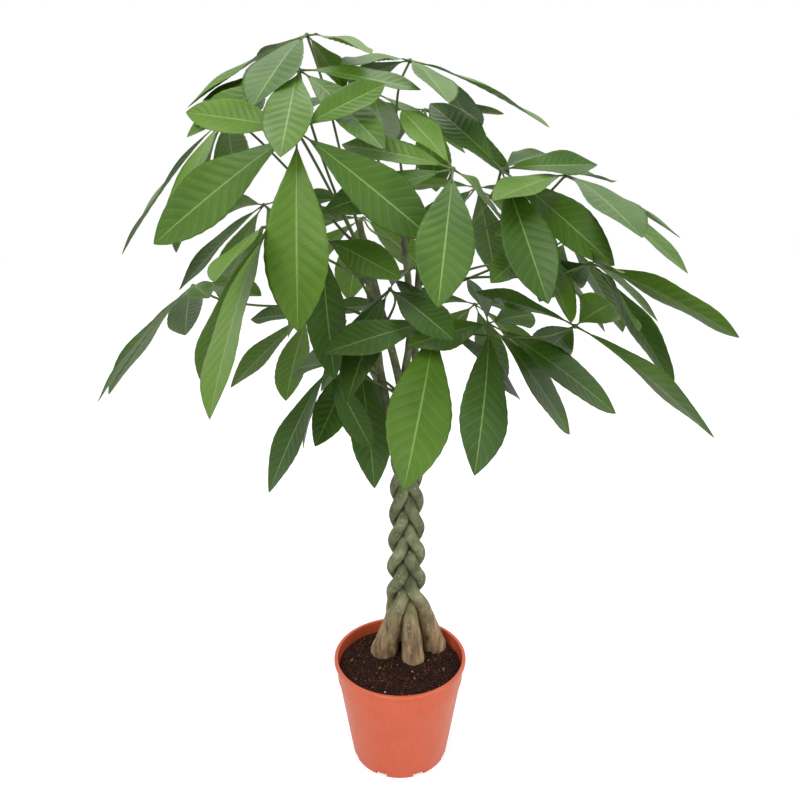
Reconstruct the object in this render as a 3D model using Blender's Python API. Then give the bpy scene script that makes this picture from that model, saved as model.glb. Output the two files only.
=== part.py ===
"""Potted money tree: five braided stems with palmate leaves, in a plastic grower's pot.

Metres, +Z up. The pot's foot rests on z = 0, and the fuller side of the crown faces -Y.
Every stem, every compound leaf, the soil and the pot is one closed body of its own.
"""

import math

import bmesh
import bpy
from mathutils import Vector
from mathutils.bvhtree import BVHTree

# ---- Fit between neighbours -------------------------------------------------------------------
GAP = 0.0003            # between pieces that touch in life
CLEARANCE = 0.0012      # kept between leaves that only pass each other

# ---- Pot: a 17 cm grower's pot ----------------------------------------------------------------
POT_HEIGHT = 0.140
POT_RIM_R = 0.085       # outside of the rolled rim
POT_COLLAR_R = 0.0822   # collar just under the rim
POT_COLLAR_LOW_R = 0.0808
POT_BODY_TOP_R = 0.0796
POT_FOOT_R = 0.0620
POT_WALL = 0.0018
POT_COLLAR_H = 0.028    # from the top of the rim to the step
POT_RIM_H = 0.0055
POT_FLOOR = 0.0022
POT_SEGMENTS = 48
DRAIN_SLOTS = 8
DRAIN_SLOT_W = 0.015
DRAIN_SLOT_H = 0.0050

# ---- Soil --------------------------------------------------------------------------------------
SOIL_TOP = 0.127
SOIL_MOUND = 0.0035     # the middle stands this much higher
SOIL_BUMP = 0.0011
SOIL_SEGMENTS = 40
FOOT_DEPTH = 0.020      # of each stem below the soil

# ---- Braid -------------------------------------------------------------------------------------
AXIS = (0.008, 0.015)   # of the trunk, in X and Y
BRAID_LOW, BRAID_HIGH = 0.215, 0.420
BRAID_PITCH = 0.180     # height in which one stem makes a whole turn of the plait
STEM_R_LOW, STEM_R_HIGH, STEM_R_TIP = 0.0072, 0.0051, 0.0036
PLAIT_WIDTH = 2.38      # half-width of the plait's middle line, in stem radii
PLAIT_DEPTH = 2.34      # half-depth, in stem radii
STEM_SIDES = 8

# Each stem: phase in the plait (degrees), foot (x, y, radius), and the top of its shoot.
STEMS = (
    ((0, (0.017, 0.004, 0.0130)), (-0.045, 0.020, 0.685)),
    ((72, (0.046, 0.034, 0.0140)), (0.022, -0.030, 0.650)),
    ((144, (0.026, 0.056, 0.0130)), (0.050, 0.005, 0.665)),
    ((216, (-0.021, 0.022, 0.0160)), (0.000, 0.048, 0.725)),
    ((288, (-0.012, 0.052, 0.0130)), (-0.035, -0.040, 0.665)),
)

# ---- Leaves ------------------------------------------------------------------------------------
PETIOLE_R = 0.0014
PETIOLE_BASE_R = 0.0021
PETIOLE_SIDES = 5
HUB_R = 0.0034
INTERNODE = 0.019       # height between the leaves of one shoot
LEAFLET_SLENDER = 0.165     # half-width over length
LEAFLET_DEPTH = 0.0024      # of the keel under the blade's flat top
STALK_SHARE = 0.07          # of a leaflet's length is its stalk
STATIONS = (0.006, 0.07, 0.19, 0.34, 0.52, 0.70, 0.87)   # cross-sections, as shares of the length

# Each leaf: the shoot it grows on, hub (cm), the way it faces and how far it tips down (degrees),
# then its leaflets as (turn from that way, length in cm, droop below the leaf's plane).
LEAVES = (
    (4, (-8.5, -18, 77), -90, 60,
     ((0, 16.5, 15), (-60, 16, 20), (55, 14.5, 35), (-115, 10.5, 10), (130, 9, 15))),
    (1, (4.5, -17, 74), -85, 45,
     ((-10, 14.5, 0), (-85, 12, 20), (-120, 11, 12), (105, 10, 45), (-155, 9, 5))),
    (2, (17, -12, 59.5), 30, 45,
     ((-60, 16.5, 10), (55, 14, 5), (-125, 12, 5), (120, 11, 10))),
    (1, (9.5, -10, 74), -100, 45,
     ((20, 14.5, 10), (60, 14, 25), (-140, 12, 0), (110, 10, 35), (150, 9.5, 30))),
    (4, (-11, -18, 69.5), 175, 30,
     ((55, 18.5, 35), (-10, 17, 30), (-50, 15, 5), (95, 13, 10), (-105, 11, 10))),
    (1, (3.5, -10, 59.5), -50, 30,
     ((-40, 18.5, 20), (60, 15, 30), (-90, 13, 15), (115, 12, 40), (165, 9.5, 10))),
    (1, (9, -8, 59), -45, 45,
     ((15, 16.5, 20), (-35, 16.5, 15), (60, 17, 0), (95, 11, 10), (145, 9, 15), (-90, 11, 5))),
    (2, (18, -12, 65.5), 30, 45,
     ((-60, 15, 0), (-25, 14.5, 15), (-90, 12, 30), (-120, 11, 0), (60, 12, 10))),
    (2, (16, -8, 73.5), -45, 15,
     ((10, 15, 20), (45, 13.5, 20), (-30, 15.5, 5), (95, 11, 5), (-85, 12, 5))),
    (0, (-22.5, -2, 62), 160, 30,
     ((50, 16, 25), (12, 16.5, 20), (-40, 15, 10), (130, 9.5, 20), (-90, 12, 15))),
    (0, (-17.5, -2, 79.5), 190, 30,
     ((45, 17.5, 25), (8, 18, 20), (-30, 18, 30), (-75, 15, 25), (105, 11, 10))),
    (4, (-7.5, -6, 54), 220, 45,
     ((-5, 15, 15), (-45, 14, 40), (-90, 12, 20), (50, 10, 40), (-140, 9, 10))),
    (4, (-5, 0, 54), -50, 45,
     ((-10, 15.5, 20), (32, 14, 45), (75, 13, 45), (-60, 12, 25))),
    (3, (1, -2, 84.5), -10, 15,
     ((-20, 16.5, 10), (-60, 13, 15), (60, 15.5, 15), (-115, 10.5, 15), (140, 10, 20))),
    (0, (-9, -4, 86.5), -150, 0,
     ((45, 15, 30), (100, 10.5, 15), (-90, 13, 10), (-140, 9.5, 25), (0, 14, 30))),
    (4, (-9, -11, 82.5), -85, 30,
     ((-10, 13, 10), (35, 12.5, 10), (-55, 12, 10), (90, 11, 5), (-100, 10, 5))),
    (4, (-7.5, -8, 67.5), -140, 45,
     ((30, 14.5, 25), (-40, 13, 35), (-75, 14, 20), (75, 11, 15), (-125, 10, 10))),
    (4, (-1, -8, 62.5), -140, 30,
     ((20, 13.5, 15), (75, 11.5, 10), (-25, 13, 30), (-70, 12.5, 35), (-155, 9, 25))),
    (1, (13, -10, 67), -30, 30,
     ((15, 11, 20), (-40, 11, 10), (65, 10.5, 30), (-85, 9.5, 15))),
    (3, (-3, 2, 82), -60, 15,
     ((-20, 13, 15), (35, 12, 20), (95, 9.5, 25), (-75, 11, 15), (-140, 9, 10))),
    (2, (20, 9, 66), 25, 35,
     ((0, 16, 15), (50, 15, 20), (-50, 15, 15), (105, 11, 10), (-105, 11, 10))),
    (3, (10, 19, 72), 60, 30,
     ((5, 17, 20), (55, 15, 15), (-45, 15, 20), (110, 11, 10), (-100, 11, 15))),
    (3, (-5, 21, 68), 105, 35,
     ((0, 17, 15), (50, 15, 20), (-50, 15, 15), (100, 11, 15), (-105, 11, 10))),
    (0, (-17, 13, 70), 145, 35,
     ((-5, 17, 15), (45, 15, 20), (-55, 15, 15), (100, 11, 10), (-110, 11, 10))),
    (3, (3, 12, 81), 80, 20,
     ((0, 15, 20), (50, 14, 15), (-50, 14, 20), (105, 11, 10), (-105, 10, 10))),
    (2, (10, 16, 57), 55, 50,
     ((0, 16, 10), (50, 14, 15), (-50, 14, 15), (105, 10, 10), (-105, 10, 10))),
    (0, (-12, 14, 56), 125, 50,
     ((0, 16, 10), (50, 14, 15), (-50, 14, 15), (105, 10, 10), (-105, 10, 10))),
)


# ---- Scene and materials -----------------------------------------------------------------------
def clear_scene():
    for obj in list(bpy.data.objects):
        bpy.data.objects.remove(obj)


def new_material(name, colour, roughness):
    material = bpy.data.materials.new(name)
    material.use_nodes = True
    shader = material.node_tree.nodes["Principled BSDF"]
    shader.inputs["Base Color"].default_value = (*colour, 1.0)
    shader.inputs["Roughness"].default_value = roughness
    material.diffuse_color = (*colour, 1.0)
    return material


def new_object(name, points, faces, material, smooth=True):
    """An object whose faces all point out of the closed body they bound."""
    mesh = bpy.data.meshes.new(name)
    mesh.from_pydata([tuple(p) for p in points], [], faces)
    shape = bmesh.new()
    shape.from_mesh(mesh)
    bmesh.ops.recalc_face_normals(shape, faces=shape.faces)
    shape.to_mesh(mesh)
    shape.free()
    if smooth:
        mesh.shade_smooth()
        mesh.set_sharp_from_angle(angle=math.radians(40))
    obj = bpy.data.objects.new(name, mesh)
    bpy.context.scene.collection.objects.link(obj)
    if material:
        mesh.materials.append(material)
    return obj


def as_cutter(obj):
    obj.hide_render = True
    obj.display_type = "WIRE"


def add_boolean(body, other, operation):
    modifier = body.modifiers.new(operation.lower(), "BOOLEAN")
    modifier.operation = operation
    modifier.solver = "EXACT"
    modifier.object = other


def join_into(body, other):
    """Unites two closed bodies for good, and removes the second object."""
    add_boolean(body, other, "UNION")
    graph = bpy.context.evaluated_depsgraph_get()
    joined = bpy.data.meshes.new_from_object(body.evaluated_get(graph))
    body.modifiers.clear()
    body.data = joined
    bpy.data.objects.remove(other)


# ---- Shapes ------------------------------------------------------------------------------------
def turned(profile, segments, bump=None):
    """Points and faces of a profile of (radius, height) turned round Z. Its ends lie on the axis."""
    points = [Vector((0, 0, profile[0][1]))]
    rings = []
    for index, (radius, height) in enumerate(profile[1:-1]):
        rings.append(range(len(points), len(points) + segments))
        for step in range(segments):
            angle = 2 * math.pi * step / segments
            rise = bump(index, angle) if bump else 0.0
            points.append(Vector((radius * math.cos(angle), radius * math.sin(angle), height + rise)))
    points.append(Vector((0, 0, profile[-1][1])))
    faces = []
    for step in range(segments):
        after = (step + 1) % segments
        faces.append((0, rings[0][after], rings[0][step]))
        faces.append((len(points) - 1, rings[-1][step], rings[-1][after]))
        for low, high in zip(rings, rings[1:]):
            faces.append((low[step], low[after], high[after], high[step]))
    return points, faces


def tube(centres, radii, sides):
    """Points and faces of a round rod along the centres, closed at both ends."""
    points, faces = [], []
    normal = None
    for index, centre in enumerate(centres):
        ahead = centres[min(index + 1, len(centres) - 1)]
        behind = centres[max(index - 1, 0)]
        tangent = (ahead - behind).normalized()
        if normal is None:
            normal = tangent.orthogonal().normalized()
        normal = (normal - tangent * normal.dot(tangent)).normalized()
        side = tangent.cross(normal)
        for step in range(sides):
            angle = 2 * math.pi * step / sides
            points.append(centre + radii[index] * (normal * math.cos(angle) + side * math.sin(angle)))
    for ring in range(len(centres) - 1):
        for step in range(sides):
            a = ring * sides + step
            b = ring * sides + (step + 1) % sides
            faces.append((a, b, b + sides, a + sides))
    faces.append(tuple(reversed(range(sides))))
    faces.append(tuple(range((len(centres) - 1) * sides, len(centres) * sides)))
    return points, faces


def bezier(a, b, c, d, t):
    s = 1 - t
    return a * s ** 3 + b * (3 * s * s * t) + c * (3 * s * t * t) + d * t ** 3


def hermite(a, tangent_a, b, tangent_b, t):
    return bezier(a, a + tangent_a / 3, b - tangent_b / 3, b, t)


# ---- Pot and soil ------------------------------------------------------------------------------
def pot_outer_radius(height):
    """Of the plain wall, without rim and collar."""
    top = POT_HEIGHT - POT_COLLAR_H
    return POT_FOOT_R + (POT_BODY_TOP_R - POT_FOOT_R) * height / top


def pot_profile():
    """From the middle of the foot, out and up the outside, over the rim and down the inside."""
    step = POT_HEIGHT - POT_COLLAR_H
    rim_low = POT_HEIGHT - POT_RIM_H
    inner_collar = POT_COLLAR_R - POT_WALL
    inner_step = POT_COLLAR_LOW_R - POT_WALL
    return [
        (0, 0),
        (0.050, 0),
        (POT_FOOT_R - 0.0025, 0),
        (POT_FOOT_R, 0.0022),
        (pot_outer_radius(0.5 * step), 0.5 * step),
        (POT_BODY_TOP_R, step - 0.0008),
        (POT_COLLAR_LOW_R, step),
        (POT_COLLAR_R, rim_low - 0.0008),
        (POT_RIM_R - 0.0006, rim_low),
        (POT_RIM_R, rim_low + 0.0012),
        (POT_RIM_R, POT_HEIGHT - 0.0014),
        (POT_RIM_R - 0.0012, POT_HEIGHT),
        (inner_collar + 0.0007, POT_HEIGHT),
        (inner_collar, POT_HEIGHT - 0.0016),
        (inner_step, step),
        (pot_outer_radius(0.5 * step) - POT_WALL, 0.5 * step),
        (pot_outer_radius(POT_FLOOR) - POT_WALL - 0.0012, POT_FLOOR + 0.0012),
        (pot_outer_radius(POT_FLOOR) - POT_WALL - 0.0030, POT_FLOOR),
        (0, POT_FLOOR),
    ]


def box_points(length, width, height):
    return [
        Vector((x * length / 2, y * width / 2, z * height / 2))
        for x in (-1, 1) for y in (-1, 1) for z in (-1, 1)
    ]


BOX_FACES = ((0, 1, 3, 2), (4, 6, 7, 5), (0, 4, 5, 1), (2, 3, 7, 6), (0, 2, 6, 4), (1, 5, 7, 3))


def build_pot(material):
    pot = new_object("pot", *turned(pot_profile(), POT_SEGMENTS), material)
    points, faces = [], []
    for index in range(DRAIN_SLOTS):
        angle = 2 * math.pi * (index + 0.5) / DRAIN_SLOTS
        out = Vector((math.cos(angle), math.sin(angle), 0))
        along = Vector((-out.y, out.x, 0))
        first = len(points)
        for corner in box_points(0.022, DRAIN_SLOT_W, 2 * DRAIN_SLOT_H):
            points.append(out * (POT_FOOT_R - 0.001 + corner.x) + along * corner.y + Vector((0, 0, corner.z)))
        faces.extend(tuple(first + corner for corner in face) for face in BOX_FACES)
    slots = new_object("drain_slot_cutter", points, faces, None, smooth=False)
    as_cutter(slots)
    add_boolean(pot, slots, "DIFFERENCE")
    return pot


def build_soil(material, feet):
    """A plug that fills the pot up to a little under the step, with a pocket for every stem."""
    step = POT_HEIGHT - POT_COLLAR_H
    inner_foot = pot_outer_radius(POT_FLOOR) - POT_WALL
    top_r = POT_COLLAR_LOW_R - POT_WALL + 0.0005 - GAP
    profile = [
        (0, POT_FLOOR + GAP),
        (inner_foot - 0.0030 - GAP, POT_FLOOR + GAP),
        (inner_foot - 0.0012 - GAP, POT_FLOOR + 0.0012 + GAP),
        (pot_outer_radius(0.5 * step) - POT_WALL - GAP, 0.5 * step),
        (POT_COLLAR_LOW_R - POT_WALL - GAP - 0.0001, step),
        (top_r - 0.0002, SOIL_TOP - 0.0035),
        (top_r - 0.0045, SOIL_TOP - 0.0015),
        (0.060, SOIL_TOP),
        (0.043, SOIL_TOP + 0.3 * SOIL_MOUND),
        (0.026, SOIL_TOP + 0.8 * SOIL_MOUND),
        (0.011, SOIL_TOP + SOIL_MOUND),
        (0, SOIL_TOP + SOIL_MOUND),
    ]

    def bump(ring, angle):
        if ring < 5:
            return 0.0
        waves = math.sin(3 * angle + 1.3 * ring) + math.sin(7 * angle - 2.1 * ring)
        return SOIL_BUMP * (0.6 * waves + 0.5 * math.sin(11 * angle + ring * ring))

    soil = new_object("soil", *turned(profile, SOIL_SEGMENTS, bump), material)
    for index, (points, faces) in enumerate(feet):
        pocket = new_object(f"pocket_cutter_{index + 1}", points, faces, None)
        as_cutter(pocket)
        add_boolean(soil, pocket, "DIFFERENCE")
    return soil


# ---- Stems -------------------------------------------------------------------------------------
def braid_radius(height):
    share = (height - BRAID_LOW) / (BRAID_HIGH - BRAID_LOW)
    return STEM_R_LOW + (STEM_R_HIGH - STEM_R_LOW) * share


def braid_point(phase, height):
    """A stem of the plait follows a figure of eight that lies across the trunk."""
    turn = math.radians(phase) - 2 * math.pi * (height - BRAID_LOW) / BRAID_PITCH
    radius = braid_radius(height)
    across = math.sin(turn) - 0.1 * math.sin(3 * turn)
    back = math.sin(2 * turn) + 0.2 * math.sin(4 * turn)
    return Vector((
        AXIS[0] + PLAIT_WIDTH * radius * across,
        AXIS[1] - PLAIT_DEPTH * radius * back,
        height,
    ))


def braid_slope(phase, height):
    step = 0.0005
    return (braid_point(phase, height + step) - braid_point(phase, height - step)) / (2 * step)


def stem_path(stem, buried=FOOT_DEPTH):
    """Centres and radii from the foot in the soil, up the leg, through the plait, to the shoot's top."""
    (phase, (foot_x, foot_y, foot_r)), top = stem
    foot = Vector((foot_x, foot_y, SOIL_TOP + 0.004))
    joint = braid_point(phase, BRAID_LOW)
    leg_height = joint.z - foot.z
    leaving = Vector(((joint.x - foot_x) * 1.1, (joint.y - foot_y) * 1.1, leg_height))
    centres = [foot - Vector((0, 0, buried)) - leaving.normalized() * 0.004, foot]
    radii = [foot_r, foot_r * 0.98]
    arriving = braid_slope(phase, BRAID_LOW) * (0.65 * leg_height)
    for step in range(1, 7):
        t = step / 6
        centres.append(hermite(foot, leaving, joint, arriving, t))
        radii.append(foot_r + (STEM_R_LOW - foot_r) * t ** 0.75)
    count = 20
    for step in range(1, count + 1):
        height = BRAID_LOW + (BRAID_HIGH - BRAID_LOW) * step / count
        centres.append(braid_point(phase, height))
        radii.append(braid_radius(height))
    last = centres[-1]
    end = Vector(top)
    rise = end.z - last.z
    first_slope = braid_slope(phase, BRAID_HIGH) * rise * 0.8
    last_slope = Vector((end.x - last.x, end.y - last.y, rise)) * 1.1
    for step in range(1, 11):
        t = step / 10
        centres.append(hermite(last, first_slope, end, last_slope, t))
        radii.append(STEM_R_HIGH + (STEM_R_TIP - STEM_R_HIGH) * t)
    centres.append(end + last_slope.normalized() * 0.004)
    radii.append(STEM_R_TIP * 0.55)
    return centres, radii


def foot_pocket(stem):
    """The foot's part of the stem, made larger all round by the gap."""
    centres, radii = stem_path(stem, buried=FOOT_DEPTH + GAP)
    radii = [radius + GAP for radius in radii[:4]]
    return tube(centres[:4], radii, STEM_SIDES)


# ---- Leaves ------------------------------------------------------------------------------------
def leaf_axes(face, tilt):
    """Outward, sideways and upward directions of a leaf that faces a way and tips down."""
    around, down = math.radians(face), math.radians(tilt)
    away = Vector((math.cos(around), math.sin(around), 0))
    up = Vector((0, 0, 1))
    outward = away * math.cos(down) - up * math.sin(down)
    normal = away * math.sin(down) + up * math.cos(down)
    return outward, normal.cross(outward), normal


def leaflet_direction(axes, turn, droop):
    outward, sideways, normal = axes
    turn, droop = math.radians(turn), math.radians(droop)
    flat = outward * math.cos(turn) + sideways * math.sin(turn)
    return flat * math.cos(droop) - normal * math.sin(droop)


def half_width(share):
    """Of a blade at a share of its length: wedge-shaped base, widest past the middle, pointed tip."""
    if share <= STALK_SHARE:
        return 0.0
    blade = (share - STALK_SHARE) / (1 - STALK_SHARE)
    return math.sin(math.pi * blade ** 1.195)


def leaflet(hub, axes, spec, extra=0.0, first=0.0):
    """One leaflet from its stalk to its tip. `extra` thickens it all round, `first` cuts the base off."""
    turn, length, droop = spec
    length = length / 100
    normal = axes[2]
    direction = leaflet_direction(axes, turn, droop)
    lift = (normal - direction * normal.dot(direction)).normalized()
    tip = hub + direction * length
    middle = hub + direction * (0.5 * length) + lift * (0.10 * length)
    points, faces = [], []
    rings = 0
    for share in STATIONS:
        if share < first:
            continue
        centre = hub * (1 - share) ** 2 + middle * (2 * share * (1 - share)) + tip * share ** 2
        tangent = ((middle - hub) * (1 - share) + (tip - middle) * share).normalized()
        side = tangent.cross(normal).normalized()
        up = side.cross(tangent)
        wide = LEAFLET_SLENDER * length * half_width(share)
        depth = 0.0009 + (LEAFLET_DEPTH - 0.0009) * min(1.0, wide / (LEAFLET_SLENDER * length))
        wide = max(wide, 0.0009) + extra
        points.append(centre + side * wide + up * (0.0004 + extra))
        points.append(centre - side * wide + up * (0.0004 + extra))
        points.append(centre - up * (depth + extra))
        rings += 1
    points.append(tip + direction * extra)
    faces.append((0, 1, 2))
    for ring in range(rings - 1):
        for step in range(3):
            a, b = 3 * ring + step, 3 * ring + (step + 1) % 3
            faces.append((a, b, b + 3, a + 3))
    last = 3 * (rings - 1)
    for step in range(3):
        faces.append((last + step, last + (step + 1) % 3, len(points) - 1))
    return points, faces


def petiole_path(start, away, hub, axes, sway):
    """From the shoot's surface, leaving square to it, and arriving under the hub."""
    span = (hub - start).length
    across = (hub - start).cross(Vector((0, 0, 1))).normalized()
    leaving = start + away * (0.16 * span) + Vector((0, 0, 0.16 * span)) + across * sway
    arriving = hub - (axes[2] * 0.8 + axes[0] * 0.35).normalized() * (0.32 * span) + across * sway
    centres = [start, start + away * 0.003]
    for step in range(1, 7):
        centres.append(bezier(centres[1], leaving, arriving, hub, step / 6))
    along = (centres[-1] - centres[-2]).normalized()
    centres[-1] = hub - along * 0.0045
    centres += [hub - along * 0.0015, hub + along * 0.0022]
    return centres


def petiole_radii(count, extra=0.0):
    radii = [PETIOLE_BASE_R, PETIOLE_BASE_R * 0.9] + [PETIOLE_R] * (count - 5)
    radii += [PETIOLE_R * 1.2, HUB_R, HUB_R * 0.55]
    return [radius + extra for radius in radii]


def nearest_on_stem(centres, radii, height):
    """Centre, direction and radius of a stem at a height."""
    for low, high, r_low, r_high in zip(centres, centres[1:], radii, radii[1:]):
        if low.z <= height <= high.z:
            share = (height - low.z) / (high.z - low.z)
            return low.lerp(high, share), (high - low).normalized(), r_low + (r_high - r_low) * share
    return centres[-1], (centres[-1] - centres[-2]).normalized(), radii[-1]


def leaf_nodes():
    """Height on its shoot of every leaf: the highest leaf of a shoot grows from its highest node."""
    heights = {}
    for stem_index, stem in enumerate(STEMS):
        mine = [i for i, leaf in enumerate(LEAVES) if leaf[0] == stem_index]
        mine.sort(key=lambda i: -LEAVES[i][1][2])
        for place, leaf_index in enumerate(mine):
            highest = stem[1][2] - 0.007 - place * INTERNODE
            heights[leaf_index] = min(highest, LEAVES[leaf_index][1][2] / 100 - 0.04)
    return heights


def tree_of(points, faces):
    return BVHTree.FromPolygons(points, faces, epsilon=0.0)


def bounds_of(points):
    low = Vector(min(p[k] for p in points) for k in range(3))
    high = Vector(max(p[k] for p in points) for k in range(3))
    return low, high


class Placed:
    """The bodies already placed, so that a new one can be tried against all of them."""

    def __init__(self):
        self.bodies = []

    def add(self, owner, points, faces):
        self.bodies.append((owner, tree_of(points, faces), *bounds_of(points)))

    def hits(self, points, faces, skip=None):
        tree = tree_of(points, faces)
        low, high = bounds_of(points)
        for owner, other, other_low, other_high in self.bodies:
            if owner == skip:
                continue
            if any(high[k] < other_low[k] or low[k] > other_high[k] for k in range(3)):
                continue
            if tree.overlap(other):
                return True
        return False


def sways():
    """Sideways bows of a petiole, from none to wide."""
    return [0.0] + [side * 0.006 * step for step in range(1, 8) for side in (1, -1)]


def nudges():
    """Small changes of turn and droop, the smallest first."""
    tries = [(4 * a, 4 * b) for a in range(-11, 12) for b in range(-9, 10)]
    return sorted(tries, key=lambda pair: (abs(pair[0]) + abs(pair[1]), pair))


def place_petioles(stems, placed):
    """A clear path for every petiole, as (centres, hub, axes) by leaf."""
    heights = leaf_nodes()
    paths = {}
    for index, (stem_index, hub, face, tilt, _) in enumerate(LEAVES):
        hub = Vector(hub) / 100
        axes = leaf_axes(face, tilt)
        centre, along, radius = nearest_on_stem(*stems[stem_index], heights[index])
        away = hub - centre
        away = (away - along * away.dot(along)).normalized()
        start = centre + away * (radius + GAP)
        for sway in sways():
            path = petiole_path(start, away, hub, axes, sway)
            tried = tube(path[2:], petiole_radii(len(path), CLEARANCE)[2:], PETIOLE_SIDES)
            if not placed.hits(*tried):
                break
        else:
            print("leaf", index + 1, "petiole is not clear")
        placed.add(index, *tube(path, petiole_radii(len(path), CLEARANCE), PETIOLE_SIDES))
        paths[index] = (path, hub, axes)
    return paths


def place_leaflets(paths, placed):
    """Turns or droops each leaflet by the least that keeps it clear of everything placed before it."""
    chosen = {index: [] for index in paths}
    siblings = {index: Placed() for index in paths}
    for index, (path, hub, axes) in paths.items():
        own = tube(path[:-3], petiole_radii(len(path), CLEARANCE)[:-3], PETIOLE_SIDES)
        siblings[index].add("petiole", *own)
    for place in range(max(len(leaf[4]) for leaf in LEAVES)):
        for index, (_, hub, axes) in paths.items():
            if place >= len(LEAVES[index][4]):
                continue
            turn, length, droop = LEAVES[index][4][place]
            for more_turn, more_droop in nudges():
                spec = (turn + more_turn, length, droop + more_droop)
                if placed.hits(*leaflet(hub, axes, spec, CLEARANCE), skip=index):
                    continue
                if siblings[index].hits(*leaflet(hub, axes, spec, CLEARANCE / 2, first=0.18)):
                    continue
                chosen[index].append(spec)
                placed.add(index, *leaflet(hub, axes, spec, CLEARANCE / 2))
                siblings[index].add(place, *leaflet(hub, axes, spec, CLEARANCE / 2, first=0.18))
                if abs(more_turn) + abs(more_droop) > 16:
                    print("leaf", index + 1, "leaflet", place + 1, "moved", more_turn, more_droop)
                break
            else:
                print("leaf", index + 1, "leaflet", place + 1, "left out")
    return chosen


def build_leaves(stems, material):
    placed = Placed()
    for centres, radii in stems:
        placed.add("stem", *tube(centres, [r + CLEARANCE for r in radii], STEM_SIDES))
    paths = place_petioles(stems, placed)
    for index, specs in place_leaflets(paths, placed).items():
        path, hub, axes = paths[index]
        shape = tube(path, petiole_radii(len(path)), PETIOLE_SIDES)
        leaf = new_object(f"leaf_{index + 1:02d}", *shape, material, smooth=False)
        for spec in specs:
            join_into(leaf, new_object("leaflet", *leaflet(hub, axes, spec), None, smooth=False))
        leaf.data.materials.clear()
        leaf.data.materials.append(material)
        leaf.data.shade_smooth()
        leaf.data.set_sharp_from_angle(angle=math.radians(40))


def main():
    clear_scene()
    plastic = new_material("pot_plastic", (0.55, 0.12, 0.06), 0.45)
    earth = new_material("potting_soil", (0.025, 0.013, 0.010), 0.95)
    bark = new_material("stem_bark", (0.16, 0.17, 0.11), 0.8)
    green = new_material("leaf_green", (0.07, 0.19, 0.04), 0.4)
    build_pot(plastic)
    build_soil(earth, [foot_pocket(stem) for stem in STEMS])
    stems = [stem_path(stem) for stem in STEMS]
    for index, (centres, radii) in enumerate(stems):
        new_object(f"stem_{index + 1}", *tube(centres, radii, STEM_SIDES), bark)
    build_leaves(stems, green)


main()
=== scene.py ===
# %% [markdown]
# # A potted money tree
#
# Five young trunks are plaited together in the nursery, and each carries a few hand-shaped leaves on
# long thin stalks. The pot, soil, stems and leaves already exist as plain solids, the frame. This lesson
# dresses them: every place and size is read from the frame, and only the fine surface is made here.

import math
import random

import bmesh
import bpy
import numpy as np
from mathutils import Matrix, Vector, noise


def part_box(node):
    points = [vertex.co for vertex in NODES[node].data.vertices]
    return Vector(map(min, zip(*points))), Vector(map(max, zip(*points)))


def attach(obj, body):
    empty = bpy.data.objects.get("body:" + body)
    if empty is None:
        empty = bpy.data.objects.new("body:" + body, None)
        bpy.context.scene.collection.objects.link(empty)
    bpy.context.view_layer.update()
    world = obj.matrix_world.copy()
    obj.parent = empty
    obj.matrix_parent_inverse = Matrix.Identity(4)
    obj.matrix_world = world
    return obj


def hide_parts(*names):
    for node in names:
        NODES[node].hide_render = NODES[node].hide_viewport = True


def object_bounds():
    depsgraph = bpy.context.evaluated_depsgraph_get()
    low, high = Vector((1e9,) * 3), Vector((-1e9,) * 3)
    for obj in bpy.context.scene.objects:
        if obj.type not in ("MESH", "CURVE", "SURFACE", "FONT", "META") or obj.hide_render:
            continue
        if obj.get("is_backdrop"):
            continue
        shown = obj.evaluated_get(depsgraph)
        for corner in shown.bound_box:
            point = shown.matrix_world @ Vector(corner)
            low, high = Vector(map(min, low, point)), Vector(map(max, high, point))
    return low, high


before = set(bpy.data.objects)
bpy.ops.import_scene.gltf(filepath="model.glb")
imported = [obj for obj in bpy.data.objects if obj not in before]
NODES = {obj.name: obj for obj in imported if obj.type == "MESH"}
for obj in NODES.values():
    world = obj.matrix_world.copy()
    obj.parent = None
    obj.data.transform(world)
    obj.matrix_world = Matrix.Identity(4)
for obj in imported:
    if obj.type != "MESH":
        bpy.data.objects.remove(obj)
cad_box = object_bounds()
print("frame nodes:", len(NODES))


# %% [markdown]
# ## Small helpers
#
# Colours are picked as sRGB hex values, because that is how they look on a screen, and one function turns
# them linear for the shader. One more function adds a node and its links. `finished` puts a mesh in the
# scene, hangs it on the body it moves with, and hides the plain solids it replaces.

# %% Colour and node helpers
def linear(hex_colour):
    channels = [int(hex_colour[i:i + 2], 16) / 255 for i in (1, 3, 5)]
    return tuple(c / 12.92 if c <= 0.04045 else ((c + 0.055) / 1.055) ** 2.4 for c in channels) + (1.0,)


def node(tree, kind, settings=None, **links):
    """Adds a node. Links name an input socket and give a value, or a (node, output) pair."""
    new = tree.nodes.new(kind)
    for name, value in (settings or {}).items():
        setattr(new, name, value)
    for name, value in links.items():
        socket = new.inputs[int(name[1:])] if name[1:].isdigit() else new.inputs[name.replace("_", " ")]
        if isinstance(value, tuple) and hasattr(value[0], "outputs"):
            tree.links.new(value[0].outputs[value[1]], socket)
        else:
            socket.default_value = value
    return new


def principled(name, roughness, **inputs):
    material = bpy.data.materials.new(name)
    material.use_nodes = True
    shader = material.node_tree.nodes["Principled BSDF"]
    shader.inputs["Roughness"].default_value = roughness
    for key, value in inputs.items():
        shader.inputs[key.replace("_", " ")].default_value = value
    return material, material.node_tree, shader


def ramp(tree, factor, stops):
    """A colour ramp with (place, hex colour) stops, driven by a (node, output) pair."""
    new = node(tree, "ShaderNodeValToRGB", Fac=factor)
    elements = new.color_ramp.elements
    for place, colour in stops[1:-1]:
        elements.new(place).color = linear(colour)
    elements[0].position, elements[0].color = stops[0][0], linear(stops[0][1])
    elements[-1].position, elements[-1].color = stops[-1][0], linear(stops[-1][1])
    return new


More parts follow.
